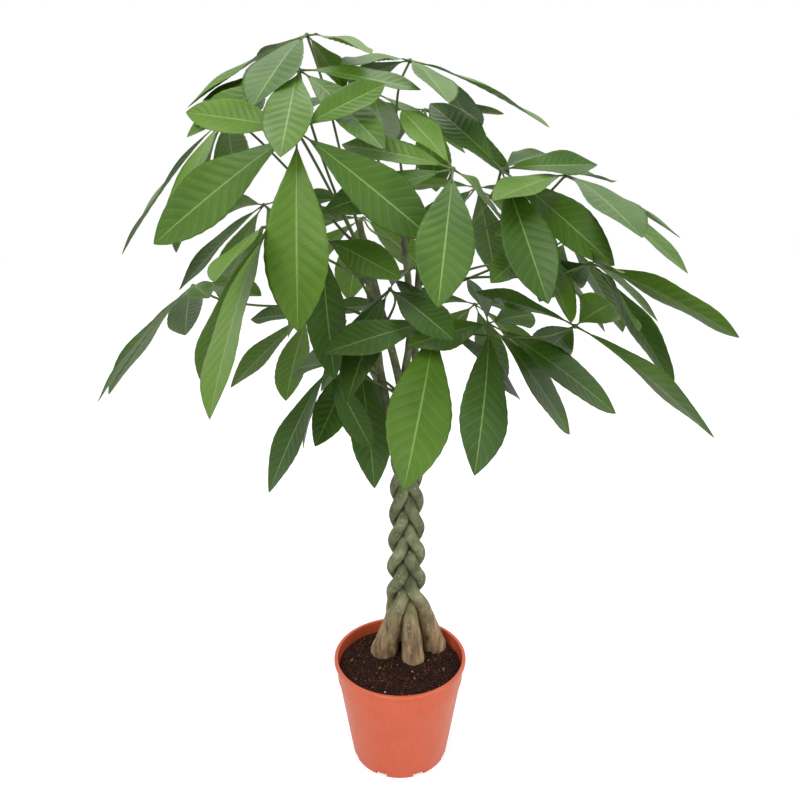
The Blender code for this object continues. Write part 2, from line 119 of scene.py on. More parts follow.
# %% Piece helpers
def finished(name, mesh, material, replaced=()):
    mesh.materials.clear()
    mesh.materials.append(material)
    mesh.shade_smooth()
    piece = bpy.data.objects.new(name, mesh)
    bpy.context.scene.collection.objects.link(piece)
    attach(piece, "root")
    if replaced:
        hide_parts(*replaced)
    return piece


def mesh_of(name, points, faces):
    mesh = bpy.data.meshes.new(name)
    mesh.from_pydata(np.asarray(points).tolist(), [], faces)
    return mesh


def face_out(mesh):
    shape = bmesh.new()
    shape.from_mesh(mesh)
    bmesh.ops.recalc_face_normals(shape, faces=shape.faces)
    shape.to_mesh(mesh)
    shape.free()


# %% [markdown]
# ## Leaf tissue
#
# A living leaf has a waxy skin over green cells. The skin gives a soft, broad gloss, the cells below vary
# from deep to fresh green, with painted light and shade added on top from each blade's place, and the midrib
# and side veins are paler because they hold little green. The blade's UV map runs across the blade in U and
# from base to tip in V, so the veins can be drawn in it.

# %% Leaf material
VEINS = 13              # pairs of side veins on a blade
VEIN_SWEEP = 0.145      # how far a side vein runs toward the tip, as a share of the blade


def leaf_material():
    material, tree, shader = principled("waxy_leaf_tissue", 0.42, Specular_IOR_Level=0.30)
    uv = node(tree, "ShaderNodeUVMap")
    parts = node(tree, "ShaderNodeSeparateXYZ", Vector=(uv, 0))
    centred = node(tree, "ShaderNodeMath", {"operation": "SUBTRACT"}, _0=(parts, 0), _1=0.5)
    across = node(tree, "ShaderNodeMath", {"operation": "ABSOLUTE"}, _0=(centred, 0))
    sweep = node(tree, "ShaderNodeMath", {"operation": "MULTIPLY"}, _0=(across, 0), _1=2 * VEIN_SWEEP)
    along = node(tree, "ShaderNodeMath", {"operation": "SUBTRACT"}, _0=(parts, 1), _1=(sweep, 0))
    turn = node(tree, "ShaderNodeMath", {"operation": "MULTIPLY"}, _0=(along, 0), _1=2 * math.pi * VEINS)
    wave = node(tree, "ShaderNodeMath", {"operation": "COSINE"}, _0=(turn, 0))
    vein = node(tree, "ShaderNodeMapRange", _0=(wave, 0), _1=0.80, _2=1.0, _3=0.0, _4=0.09)
    rib = node(tree, "ShaderNodeMapRange", _0=(across, 0), _1=0.006, _2=0.022, _3=0.62, _4=0.0)
    pale = node(tree, "ShaderNodeMath", {"operation": "MAXIMUM"}, _0=(vein, 0), _1=(rib, 0))
    # Painted light and shade: each blade's number is lighter high up and out at the rim and darker inside,
    # plus a random tone of its own.
    tone = node(tree, "ShaderNodeAttribute", {"attribute_name": "tone"})
    place = node(tree, "ShaderNodeTexCoord")
    mottle = node(tree, "ShaderNodeTexNoise", Vector=(place, 3), Scale=22.0, Detail=4.0)
    shift = node(tree, "ShaderNodeMath", {"operation": "MULTIPLY_ADD"}, _0=(mottle, 0), _1=0.30, _2=-0.15)
    mix = node(tree, "ShaderNodeMath", {"operation": "ADD"}, _0=(tone, 2), _1=(shift, 0))
    greens = [(0.0, "#22380a"), (0.35, "#3b5e13"), (0.65, "#608521"), (1.0, "#9fb62a")]
    green = ramp(tree, (mix, 0), greens)
    ribs = node(tree, "ShaderNodeMix", {"data_type": "RGBA"}, _0=(pale, 0), _6=(green, 0))
    ribs.inputs[7].default_value = linear("#93b266")
    tree.links.new(ribs.outputs[2], shader.inputs["Base Color"])
    bump = node(tree, "ShaderNodeBump", Strength=0.25, Distance=0.0006)
    pores = node(tree, "ShaderNodeTexNoise", Vector=(place, 3), Scale=600.0, Detail=2.0)
    tree.links.new(pores.outputs[0], bump.inputs["Height"])
    tree.links.new(bump.outputs[0], shader.inputs["Normal"])
    return material


def stalk_material():
    material, tree, shader = principled("green_leaf_stalk", 0.5)
    place = node(tree, "ShaderNodeTexCoord")
    blotch = node(tree, "ShaderNodeTexNoise", Vector=(place, 3), Scale=35.0, Detail=3.0)
    colour = ramp(tree, (blotch, 0), [(0.3, "#34401f"), (0.55, "#56692f"), (0.8, "#7f9150")])
    tree.links.new(colour.outputs[0], shader.inputs["Base Color"])
    return material


leaf_tissue = leaf_material()
stalk_skin = stalk_material()
print("materials:", leaf_tissue.name, stalk_skin.name)


# %% [markdown]
# ## Reading a leaf from the frame
#
# Each leaflet in the frame is a three-sided blade: a left edge, a right edge and a keel below. Its tip is
# one point with three neighbours, and every step away from the tip meets the next three corners. So the
# cross-sections come out in order, with no measuring by eye, and a fine blade can follow them.

# %% Walk from each tip to the hub
class Leaflet:
    """Cross-sections from base to tip: middle, side direction and half-width, up direction."""

    def __init__(self, tip, rings):
        self.tip = tip
        self.rings = []
        base_end = sum(rings[-1], Vector()) / 3
        along = (tip - base_end).normalized()
        for ring in rings[::-1][1:]:
            pairs = [(ring[a] - ring[b]).length for a, b in ((1, 2), (0, 2), (0, 1))]
            keel = ring[pairs.index(max(pairs))]
            left, right = [p for p in ring if p is not keel]
            middle = (left + right) / 2
            up = (middle - keel).normalized()
            if (left - right).dot(along.cross(up)) < 0:
                left, right = right, left
            self.rings.append((middle, (left - right).normalized(), (left - right).length / 2, up))
        self.base = base_end


SHORTEST_TIP = 0.008    # a tip's three edges are all longer than this
WELD = 1e-5


def merged(cad_node):
    shape = bmesh.new()
    shape.from_mesh(cad_node.data)
    bmesh.ops.remove_doubles(shape, verts=shape.verts, dist=WELD)
    return shape


def read_leaf(cad_node):
    """The leaflets of a leaf, and the corners that belong to its stalk and hub."""
    shape = merged(cad_node)
    leaflets, used = [], set()
    for start in shape.verts:
        around = [edge.other_vert(start) for edge in start.link_edges]
        if len(around) != 3 or min((v.co - start.co).length for v in around) < SHORTEST_TIP:
            continue
        rings, seen, layer = [], {start}, set(around)
        while len(layer) == 3 and len(rings) < 6:
            rings.append([v.co.copy() for v in layer])
            seen |= layer
            layer = {e.other_vert(v) for v in layer for e in v.link_edges} - seen
        if len(rings) < 5:
            continue
        used |= seen
        leaflets.append(Leaflet(start.co.copy(), rings))
    rest = [v.co.copy() for v in shape.verts if v not in used]
    shape.free()
    return leaflets, rest


leaves = {name: read_leaf(NODES[name]) for name in sorted(NODES) if name.startswith("leaf")}
print("leaflets read:", [len(found[0]) for found in leaves.values()])


# %% [markdown]
# ## A fine blade
#
# The blade is a closed skin 0.35 mm thick. It sags between its edges toward the midrib, swells between the
# side veins like a quilt, and its edges ripple a little. All of it is one formula on a grid.

# %% Blade surface
ACROSS, ALONG = 18, 56
BLADE_THICK = 0.00035
QUILT = 0.00055         # height of the swelling between two side veins
FOLD = 0.0032           # the midrib lies this far below the edges of a wide blade


def spline(knots, values, at):
    """Smooth curve through the values (Catmull-Rom on uneven knots)."""
    values = np.asarray(values, float)
    knots = np.asarray(knots, float)
    slopes = np.gradient(values, knots, axis=0)
    i = np.clip(np.searchsorted(knots, at) - 1, 0, len(knots) - 2)
    span = knots[i + 1] - knots[i]
    t = ((at - knots[i]) / span)[:, None]
    a, b = values[i], values[i + 1]
    ma, mb = slopes[i] * span[:, None], slopes[i + 1] * span[:, None]
    return ((2 * t ** 3 - 3 * t ** 2 + 1) * a + (t ** 3 - 2 * t ** 2 + t) * ma
            + (3 * t ** 2 - 2 * t ** 3) * b + (t ** 3 - t ** 2) * mb)


def blade_outline(share):
    return np.sin(np.pi * np.clip(share, 0, 1) ** 1.32) ** 0.85


def blade(leaflet, seed):
    """Points, faces, UVs of one closed blade."""
    rng = random.Random(seed)
    middles = [leaflet.base] + [ring[0] for ring in leaflet.rings] + [leaflet.tip]
    steps = [0.0]
    for a, b in zip(middles, middles[1:]):
        steps.append(steps[-1] + (b - a).length)
    knots = np.array(steps) / steps[-1]
    first, last = leaflet.rings[0], leaflet.rings[-1]
    sides = [first[1]] + [ring[1] for ring in leaflet.rings] + [last[1]]
    ups = [first[3]] + [ring[3] for ring in leaflet.rings] + [last[3]]
    share = np.linspace(0, 1, ALONG) ** 0.94
    centre = spline(knots, middles, share)
    side = spline(knots, sides, share)
    up = spline(knots, ups, share)
    side /= np.linalg.norm(side, axis=1)[:, None]
    up /= np.linalg.norm(up, axis=1)[:, None]
    widest = max(ring[2] for ring in leaflet.rings)
    half = np.maximum(widest * 1.02 * blade_outline(share), 0.0007 * (1 - share) + 0.00008)
    v = np.linspace(-1, 1, ACROSS)
    grid_v, grid_s = np.meshgrid(v, share)
    wide = half[:, None] / widest
    out = np.abs(grid_v)
    fold = -FOLD * wide * (1 - out ** 1.3)
    phase = 2 * np.pi * VEINS * (grid_s - VEIN_SWEEP * out)
    quilt = -QUILT * np.cos(phase) * np.sin(np.pi * np.clip(out, 0, 1) ** 0.8) * wide
    ripple_at, ripple = rng.uniform(0, 6.28), rng.uniform(0.0012, 0.0024)
    edge = ripple * out ** 2 * wide * np.sin(2 * np.pi * (1.6 * grid_s + 0.25 * np.sign(grid_v)) + ripple_at)
    twist = rng.uniform(-0.05, 0.05) * grid_v * half[:, None] * (grid_s - 0.3)
    groove = -0.0004 * np.exp(-(out / 0.05) ** 2) * (wide > 0.05)
    lift = fold + quilt + edge + twist + groove
    scallop = 1 + 0.012 * np.cos(phase) * (out > 0.95)
    top = (centre[:, None] + side[:, None] * (grid_v * scallop * half[:, None])[..., None]
           + up[:, None] * lift[..., None])
    under = top - up[:, None] * BLADE_THICK
    under[:, 0], under[:, -1] = top[:, 0] - up * 0.0001, top[:, -1] - up * 0.0001
    points = np.concatenate([top.reshape(-1, 3), under.reshape(-1, 3)])
    uv = np.stack([(grid_v + 1) / 2, grid_s], -1).reshape(-1, 2)
    return points, BLADE_FACES, np.concatenate([uv, uv])


def blade_faces():
    faces, below = [], ALONG * ACROSS
    for i in range(ALONG - 1):
        for j in range(ACROSS - 1):
            a = i * ACROSS + j
            faces.append((a, a + 1, a + 1 + ACROSS, a + ACROSS))
            faces.append((below + a, below + a + ACROSS, below + a + 1 + ACROSS, below + a + 1))
        for j, flip in ((0, False), (ACROSS - 1, True)):
            a, b = i * ACROSS + j, (i + 1) * ACROSS + j
            wall = (a, b, below + b, below + a)
            faces.append(wall[::-1] if flip else wall)
    for j in range(ACROSS - 1):
        a = j
        faces.append((a, below + a, below + a + 1, a + 1))
        b = (ALONG - 1) * ACROSS + j
        faces.append((b, b + 1, below + b + 1, below + b))
    return faces


BLADE_FACES = blade_faces()
print("faces of one blade:", len(BLADE_FACES))


# %% Stalk route from the rings that are left
def rod(centres, radii, sides=10):
    """A round rod through the centres, closed by a point at each end."""
    points, faces = [], []
    normal = None
    for index, centre in enumerate(centres):
        tangent = (centres[min(index + 1, len(centres) - 1)] - centres[max(index - 1, 0)]).normalized()
        normal = tangent.orthogonal() if normal is None else normal - tangent * normal.dot(tangent)
        normal.normalize()
        side = tangent.cross(normal)
        for step in range(sides):
            angle = 2 * math.pi * step / sides
            points.append(centre + radii[index] * (normal * math.cos(angle) + side * math.sin(angle)))
    for ring in range(len(centres) - 1):
        for step in range(sides):
            a, b = ring * sides + step, ring * sides + (step + 1) % sides
            faces.append((a, b, b + sides, a + sides))
    faces.append(tuple(reversed(range(sides))))
    faces.append(tuple(range((len(centres) - 1) * sides, len(centres) * sides)))
    return points, faces


def smooth_route(corners, count):
    steps = [0.0]
    for a, b in zip(corners, corners[1:]):
        steps.append(steps[-1] + max((b - a).length, 1e-6))
    knots = np.array(steps) / steps[-1]
    return [Vector(p) for p in spline(knots, corners, np.linspace(0, 1, count))]


def hub_of(leaflets):
    """Where the leaflets' stalks meet: the point nearest to all their base lines."""
    total, target = np.zeros((3, 3)), np.zeros(3)
    for leaflet in leaflets:
        base = np.array(leaflet.base)
        way = base - np.array(leaflet.rings[0][0])
        way /= np.linalg.norm(way)
        off = np.eye(3) - np.outer(way, way)
        total += off
        target += off @ base
    return Vector(np.linalg.solve(total, target))


HUB_REACH = 0.0075      # corners nearer than this belong to the hub
RING_REACH = 0.0027     # corners of one ring lie nearer together than this


def stalk_route(rest, hub):
    """Middles of the stalk's rings of corners, from the shoot to the hub."""
    far = [p for p in rest if (p - hub).length > HUB_REACH]
    groups = []
    for point in far:
        near = [g for g in groups if any((point - q).length < RING_REACH for q in g)]
        joined = [point] + [q for g in near for q in g]
        groups = [g for g in groups if g not in near] + [joined]
    middles = [sum(g, Vector()) / len(g) for g in groups if len(g) >= 3]
    middles.sort(key=lambda p: (p - hub).length)
    route, here = [], hub
    while middles:
        nearest = min(middles, key=lambda p: (p - here).length)
        middles.remove(nearest)
        route.append(nearest)
        here = nearest
    return route[::-1] + [hub]


# %% [markdown]
# ## Building every leaf
#
# One mesh holds a leaf's blades, and a second one its green stalk, the pale knuckle where the leaflets meet,
# and their short stalks. A number on each blade paints light and shade into its green. Blades high up and
# out toward the rim are painted fresher, as if lit, and the inner ones deeper, as if shaded. A random share
# gives each blade its own tone.

# %% Leaves
STALK_R = 0.0013
STALK_RINGS = 26
KNUCKLE_R = 0.0025
SHORT_STALK_RADII = [0.0016, 0.0012, 0.0010, 0.0009, 0.0009, 0.0008, 0.0006]


def painted_light_and_tone_of(leaflet, rng):
    """0 is the deepest green, 1 the freshest. Painted light and shade: blades high up and out toward the rim
    are painted fresher, as if lit, and inner, low ones deeper, as if shaded; a random share is the blade's
    own tone.
    """
    middle = leaflet.rings[len(leaflet.rings) // 2]
    out = math.hypot(middle[0].x, middle[0].y) / 0.30
    high = (middle[0].z - 0.40) / 0.45
    # Painted light: height and reach from the axis make the green lighter; the random part is the blade's
    # own tone.
    return min(1.0, max(0.0, 0.16 + 0.22 * out + 0.16 * high + rng.uniform(-0.10, 0.16)))


def build_leaf(name, leaflets, rest, seed):
    rng = random.Random(seed)
    points, faces, uvs, painted_light_and_tones = [], [], [], []
    for index, leaflet in enumerate(leaflets):
        more, its_faces, uv = blade(leaflet, seed * 10 + index)
        first = sum(len(p) for p in points)
        faces += [tuple(first + v for v in face) for face in its_faces]
        points.append(more)
        uvs.append(uv)
        # Each blade's painted light and shade, with its random tone, goes on all of its points.
        painted_light_and_tones += [painted_light_and_tone_of(leaflet, rng)] * len(more)
    mesh = mesh_of(name, np.concatenate(points), faces)
    layer = mesh.uv_layers.new(name="blade")
    corner = np.empty(len(mesh.loops), np.int32)
    mesh.loops.foreach_get("vertex_index", corner)
    layer.data.foreach_set("uv", np.concatenate(uvs)[corner].ravel())
    mesh.attributes.new("tone", "FLOAT", "POINT").data.foreach_set("value", painted_light_and_tones)
    face_out(mesh)
    finished(name + "_blades", mesh, leaf_tissue, [name])

    hub = hub_of(leaflets)
    route = smooth_route(stalk_route(rest, hub), STALK_RINGS)
    radii = [STALK_R * (1 + 0.7 * (1 - i / (STALK_RINGS - 1)) ** 6) for i in range(STALK_RINGS)]
    points, faces = rod(route, radii)
    for leaflet in leaflets:
        into_blade = leaflet.base.lerp(leaflet.rings[0][0], 0.5)
        to_blade = smooth_route([hub, leaflet.base, into_blade], len(SHORT_STALK_RADII))
        more, its_faces = rod(to_blade, SHORT_STALK_RADII, 8)
        faces += [tuple(len(points) + v for v in face) for face in its_faces]
        points += more
    knuckle = bmesh.new()
    bmesh.ops.create_icosphere(knuckle, subdivisions=2, radius=KNUCKLE_R)
    first = len(points)
    points += [hub + v.co for v in knuckle.verts]
    faces += [tuple(first + v.index for v in face.verts) for face in knuckle.faces]
    knuckle.free()
    stalk = mesh_of(name + "_stalk", points, faces)
    face_out(stalk)
    finished(name + "_stalk", stalk, stalk_skin)


for number, (name, (leaflets, rest)) in enumerate(leaves.items()):
    build_leaf(name, leaflets, rest, number + 1)
print("leaves built:", len(leaves))


# %% [markdown]
# ## Plaited stems
#
# Money tree bark is thin and grey-green, with pale pores. Where the trunks were forced together they
# thickened until they touch, so each stem is grown outward from its plain solid: subdivided, swollen, and
# roughened by noise, more so on the old legs near the soil.

# %% Bark
def bark_material():
    material, tree, shader = principled("money_tree_bark", 0.75)
    place = node(tree, "ShaderNodeTexCoord")
    height = node(tree, "ShaderNodeSeparateXYZ", Vector=(place, 3))
    age = node(tree, "ShaderNodeMapRange", _0=(height, 2), _1=0.155, _2=0.245, _3=0.0, _4=1.0)
    stretch = node(tree, "ShaderNodeMapping", Vector=(place, 3), Scale=(1.0, 1.0, 0.25))
    streak = node(tree, "ShaderNodeTexNoise", Vector=(stretch, 0), Scale=160.0, Detail=6.0)
    blotch = node(tree, "ShaderNodeTexNoise", Vector=(place, 3), Scale=55.0, Detail=4.0)
    old = ramp(tree, (streak, 0), [(0.3, "#5f4e39"), (0.5, "#977f5f"), (0.7, "#c8ac7f")])
    young = ramp(tree, (blotch, 0), [(0.3, "#4a5237"), (0.5, "#6e7553"), (0.72, "#979a74")])
    grown = node(tree, "ShaderNodeMix", {"data_type": "RGBA"}, _0=(age, 0), _6=(old, 0), _7=(young, 0))
    cells = node(tree, "ShaderNodeTexVoronoi", Vector=(place, 3), Scale=125.0)
    pores = node(tree, "ShaderNodeMapRange", _0=(cells, 0), _1=0.06, _2=0.26, _3=0.55, _4=0.0)
    spots = node(tree, "ShaderNodeMix", {"data_type": "RGBA"}, _0=(pores, 0), _6=(grown, 2))
    spots.inputs[7].default_value = linear("#b9b79c")
    tree.links.new(spots.outputs[2], shader.inputs["Base Color"])
    bump = node(tree, "ShaderNodeBump", Strength=0.7, Distance=0.0012, Height=(streak, 0))
    tree.links.new(bump.outputs[0], shader.inputs["Normal"])
    return material


bark = bark_material()


# %% Stems
BARK_LEVELS = 3
SWELL_BRAID, SWELL_SHOOT, SWELL_LEG = 0.0014, 0.0006, 0.0022
BRAID_TOP = 0.42


def stem_from(name, seed):
    shape = merged(NODES[name])
    bmesh.ops.dissolve_limit(shape, angle_limit=0.001, verts=shape.verts, edges=shape.edges)
    mesh = bpy.data.meshes.new(name + "_bark")
    shape.to_mesh(mesh)
    shape.free()
    carrier = bpy.data.objects.new("carrier", mesh)
    bpy.context.scene.collection.objects.link(carrier)
    smooth = carrier.modifiers.new("smooth", "SUBSURF")
    smooth.levels = smooth.render_levels = BARK_LEVELS
    graph = bpy.context.evaluated_depsgraph_get()
    fine = bpy.data.meshes.new_from_object(carrier.evaluated_get(graph))
    bpy.data.objects.remove(carrier)
    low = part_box("soil")[1][2]
    points = [vertex.co.copy() for vertex in fine.vertices]
    normals = [vertex.normal.copy() for vertex in fine.vertices]
    grown = []
    for point, normal in zip(points, normals):
        old = min(1.0, max(0.0, 1 - (point.z - low) / 0.09))
        swell = SWELL_BRAID if point.z < BRAID_TOP else SWELL_SHOOT
        drawn_out = Vector((point.x * 130, point.y * 130, point.z * 22 + seed * 7))
        ridge = noise.fractal(drawn_out, 1.0, 2.0, 4)
        knob = noise.noise(Vector((point.x * 45, point.y * 45, point.z * 45 + seed * 5)))
        grow = swell + SWELL_LEG * old + (0.0004 + 0.0011 * old) * ridge + 0.0008 * knob
        grown.append(point + normal * grow)
    fine.vertices.foreach_set("co", np.array(grown).ravel())
    return finished(name + "_bark", fine, bark, [name])


for number in range(1, 6):
    piece = stem_from(f"stem_{number}", number)
    print(piece.name, len(piece.data.vertices), "points")


# %% [markdown]
# ## The grower's pot
#
# The pot is injection-moulded polypropylene in terracotta orange: thin, smooth and half glossy, with a
# rolled rim, a collar and a faint step below it. A lathe makes it: an outline turned round the axis. The
# drain slots round the foot are cut with one repeated block.

# %% Pot plastic
def pot_material():
    material, tree, shader = principled("moulded_polypropylene", 0.26, Specular_IOR_Level=0.5)
    place = node(tree, "ShaderNodeTexCoord")
    stretch = node(tree, "ShaderNodeMapping", Vector=(place, 3), Scale=(1.0, 1.0, 0.06))
    streak = node(tree, "ShaderNodeTexNoise", Vector=(stretch, 0), Scale=260.0, Detail=3.0)
    dust = node(tree, "ShaderNodeTexNoise", Vector=(place, 3), Scale=30.0, Detail=5.0)
    tint = node(tree, "ShaderNodeMix", {"data_type": "FLOAT"}, _0=0.5, _2=(streak, 0), _3=(dust, 0))
    colour = ramp(tree, (tint, 0), [(0.3, "#d86040"), (0.5, "#dc6543"), (0.7, "#e06b4a")])
    tree.links.new(colour.outputs[0], shader.inputs["Base Color"])
    bump = node(tree, "ShaderNodeBump", Strength=0.05, Distance=0.0005, Height=(streak, 0))
    tree.links.new(bump.outputs[0], shader.inputs["Normal"])
    return material


plastic = pot_material()


# %% Turn the pot
POT_SIDES = 144
(pot_low, pot_high) = (Vector(c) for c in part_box("pot"))
RIM_R = (pot_high.x - pot_low.x) / 2
POT_H = pot_high.z
WALL = 0.0018
COLLAR_R, COLLAR_LOW_R, BODY_R, FOOT_R = RIM_R - 0.0028, RIM_R - 0.0042, RIM_R - 0.0054, 0.062
COLLAR_H, FLOOR = 0.028, 0.0022
STEP = POT_H - COLLAR_H
DRAIN_SLOTS = 8
SLOT_DEEP, SLOT_WIDE, SLOT_TALL = 0.022, 0.015, 0.010     # half of each block's height is in the pot


def arc(middle, radius, start, end, count=5):
    """Points of a rounded corner in (radius, height)."""
    turns = [math.radians(start + (end - start) * i / (count - 1)) for i in range(count)]
    return [(middle[0] + radius * math.cos(t), middle[1] + radius * math.sin(t)) for t in turns]


def body_radius(height):
    return FOOT_R + (BODY_R - FOOT_R) * height / STEP


outline = [(0.0, 0.0), (0.02, 0.0), (0.045, 0.0)]
outline += arc((FOOT_R - 0.0018, 0.0018), 0.0018, -90, -5)
outline += [(body_radius(h), h) for h in (0.02, 0.045, 0.07, 0.095)]
outline += [(BODY_R, STEP - 0.0012), (COLLAR_LOW_R, STEP), (COLLAR_LOW_R + 0.0004, STEP + 0.009)]
outline += [(COLLAR_R, POT_H - 0.0066)]
outline += arc((RIM_R - 0.0012, POT_H - 0.0042), 0.0012, -70, 0)
outline += arc((RIM_R - 0.0013, POT_H - 0.0013), 0.0013, 0, 90)
outline += arc((COLLAR_R - WALL + 0.0010, POT_H - 0.0010), 0.0010, 90, 180)
outline += [(COLLAR_R - WALL - 0.0003, POT_H - 0.008), (COLLAR_LOW_R - WALL, STEP)]
outline += [(body_radius(h) - WALL, h) for h in (0.09, 0.05, 0.012)]
outline += arc((body_radius(FLOOR) - WALL - 0.0016, FLOOR + 0.0016), 0.0016, 0, -90)
outline += [(0.03, FLOOR), (0.0, FLOOR)]


def turn_outline(outline, sides):
    points, rings = [], []
    for radius, height in outline:
        if radius == 0:
            rings.append([len(points)] * sides)
            points.append((0, 0, height))
            continue
        rings.append(range(len(points), len(points) + sides))
        for step in range(sides):
            angle = 2 * math.pi * step / sides
            points.append((radius * math.cos(angle), radius * math.sin(angle), height))
    faces = []
    for low, high in zip(rings, rings[1:]):
        for step in range(sides):
            after = (step + 1) % sides
            face = [low[step], low[after], high[after], high[step]]
            faces.append(tuple(dict.fromkeys(face)))
    return points, faces


pot_mesh = mesh_of("pot_body", *turn_outline(outline, POT_SIDES))
face_out(pot_mesh)
pot_blank = bpy.data.objects.new("pot_blank", pot_mesh)
bpy.context.scene.collection.objects.link(pot_blank)
cutter_shape = bmesh.new()
for index in range(DRAIN_SLOTS):
    angle = 2 * math.pi * (index + 0.5) / DRAIN_SLOTS
    block = bmesh.ops.create_cube(cutter_shape, size=1.0)["verts"]
    for vertex in block:
        x = SLOT_DEEP * vertex.co.x + FOOT_R - 0.001
        y, z = SLOT_WIDE * vertex.co.y, SLOT_TALL * vertex.co.z
        vertex.co = Matrix.Rotation(angle, 3, "Z") @ Vector((x, y, z))
cutter_mesh = bpy.data.meshes.new("drain_slots")
cutter_shape.to_mesh(cutter_mesh)
cutter_shape.free()
cutter = bpy.data.objects.new("drain_slots", cutter_mesh)
bpy.context.scene.collection.objects.link(cutter)
cut = pot_blank.modifiers.new("drain", "BOOLEAN")
cut.operation, cut.object = "DIFFERENCE", cutter
graph = bpy.context.evaluated_depsgraph_get()
pot_final = bpy.data.meshes.new_from_object(pot_blank.evaluated_get(graph))
bpy.data.objects.remove(pot_blank)
bpy.data.objects.remove(cutter)
pot = finished("pot_shell", pot_final, plastic, ["pot"])
pot_final.set_sharp_from_angle(angle=math.radians(35))
print("pot faces:", len(pot_final.polygons))


# %% [markdown]
# ## Potting soil
#
# Peat-based soil is a heap of dark crumbs, brown fibres, bark chips and a few white grains of perlite. The
# bed is one closed, rough surface. The rest lies scattered on it by Geometry Nodes, which is made for
# things that repeat on a surface.

# %% Soil materials
def grain_material(name, stops, scale, roughness=0.95):
    material, tree, shader = principled(name, roughness, Specular_IOR_Level=0.2)
    place = node(tree, "ShaderNodeTexCoord")
    spots = node(tree, "ShaderNodeTexNoise", Vector=(place, 3), Scale=scale, Detail=6.0)
    colour = ramp(tree, (spots, 0), stops)
    tree.links.new(colour.outputs[0], shader.inputs["Base Color"])
    bump = node(tree, "ShaderNodeBump", Strength=0.9, Distance=0.0015, Height=(spots, 0))
    tree.links.new(bump.outputs[0], shader.inputs["Normal"])
    return material


PEAT_BROWNS = [(0.35, "#1b100d"), (0.5, "#2f1d17"), (0.62, "#4d2c21"), (0.75, "#74402f")]
peat = grain_material("damp_peat", PEAT_BROWNS, 420.0)
chip = grain_material("bark_chip", [(0.3, "#5a3a26"), (0.5, "#8f6b48"), (0.7, "#b8946a")], 250.0)
fibre = grain_material("peat_fibre", [(0.3, "#4a2618"), (0.5, "#7a4630"), (0.7, "#a8714e")], 300.0)
perlite = grain_material("perlite_grain", [(0.3, "#b9b3a8"), (0.6, "#e4e0d8")], 300.0)


# %% Soil bed
SOIL_RINGS, SOIL_SIDES = 60, 160
soil_low, soil_high = (Vector(c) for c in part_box("soil"))
SOIL_R = (soil_high.x - soil_low.x) / 2
SOIL_Z = soil_high.z - 0.0042


def soil_height(x, y):
    radius = math.hypot(x, y)
    mound = 0.0030 * max(0.0, 1 - (radius / 0.06) ** 2)
    lump = noise.fractal(Vector((x * 90, y * 90, 3.0)), 1.0, 2.1, 5)
    return SOIL_Z + mound + 0.0016 * lump - 0.0035 * max(0.0, (radius / SOIL_R - 0.93) / 0.07)


points = [(0, 0, soil_height(0, 0))]
for ring in range(1, SOIL_RINGS + 1):
    radius = SOIL_R * ring / SOIL_RINGS
    for step in range(SOIL_SIDES):
        angle = 2 * math.pi * step / SOIL_SIDES
        x, y = radius * math.cos(angle), radius * math.sin(angle)
        points.append((x, y, soil_height(x, y)))
faces = [(0, 1 + step, 1 + (step + 1) % SOIL_SIDES) for step in range(SOIL_SIDES)]
for ring in range(SOIL_RINGS - 1):
    for step in range(SOIL_SIDES):
        a, b = 1 + ring * SOIL_SIDES + step, 1 + ring * SOIL_SIDES + (step + 1) % SOIL_SIDES
        faces.append((a, a + SOIL_SIDES, b + SOIL_SIDES, b))
rim = 1 + (SOIL_RINGS - 1) * SOIL_SIDES
waist = (body_radius(0.05) - WALL - 0.0004, 0.05)
levels = [(SOIL_R - 0.0006, STEP), waist, (FOOT_R - WALL - 0.0035, FLOOR + 0.0006)]
for radius, height in levels:
    first = len(points)
    for step in range(SOIL_SIDES):
        angle = 2 * math.pi * step / SOIL_SIDES
        points.append((radius * math.cos(angle), radius * math.sin(angle), height))
        a, b = rim + step, rim + (step + 1) % SOIL_SIDES
        faces.append((a, first + step, first + (step + 1) % SOIL_SIDES, b))
    rim = first
faces.append(tuple(range(rim + SOIL_SIDES - 1, rim - 1, -1)))
bed = mesh_of("soil_bed", points, faces)
face_out(bed)
finished("soil_bed", bed, peat, ["soil"])
print("soil faces:", len(faces))


# %% Scatter on the soil
def scatter_tree(name, material):
    """Points spread on the given surface, each with a turned and scaled pebble."""
    tree = bpy.data.node_groups.new(name, "GeometryNodeTree")
    tree.interface.new_socket("Geometry", in_out="INPUT", socket_type="NodeSocketGeometry")
    for label in ("Density", "Size", "Width", "Flatness"):
        tree.interface.new_socket(label, in_out="INPUT", socket_type="NodeSocketFloat")
    tree.interface.new_socket("Seed", in_out="INPUT", socket_type="NodeSocketInt")
    tree.interface.new_socket("Geometry", in_out="OUTPUT", socket_type="NodeSocketGeometry")
    given = node(tree, "NodeGroupInput")
    spread = node(tree, "GeometryNodeDistributePointsOnFaces", Mesh=(given, 0), Density=(given, 1),
                  Seed=(given, 5))
    ball = node(tree, "GeometryNodeMeshIcoSphere", Radius=(given, 2), Subdivisions=1)
    flat = node(tree, "ShaderNodeCombineXYZ", X=1.0, Y=(given, 3), Z=(given, 4))
    shaped = node(tree, "GeometryNodeTransform", Geometry=(ball, 0), Scale=(flat, 0))
    turn = node(tree, "FunctionNodeRandomValue", {"data_type": "FLOAT_VECTOR"}, Seed=(given, 5))
    turn.inputs[1].default_value = (6.28, 6.28, 6.28)
    grow = node(tree, "FunctionNodeRandomValue", Seed=(given, 5))
    grow.inputs[2].default_value, grow.inputs[3].default_value = 0.45, 1.3
    placed = node(tree, "GeometryNodeInstanceOnPoints", Points=(spread, 0), Instance=(shaped, 0),
                  Rotation=(turn, 0), Scale=(grow, 1))
    real = node(tree, "GeometryNodeRealizeInstances", Geometry=(placed, 0))
    painted = node(tree, "GeometryNodeSetMaterial", Geometry=(real, 0), Material=material)
    node(tree, "NodeGroupOutput", Geometry=(painted, 0))
    return tree


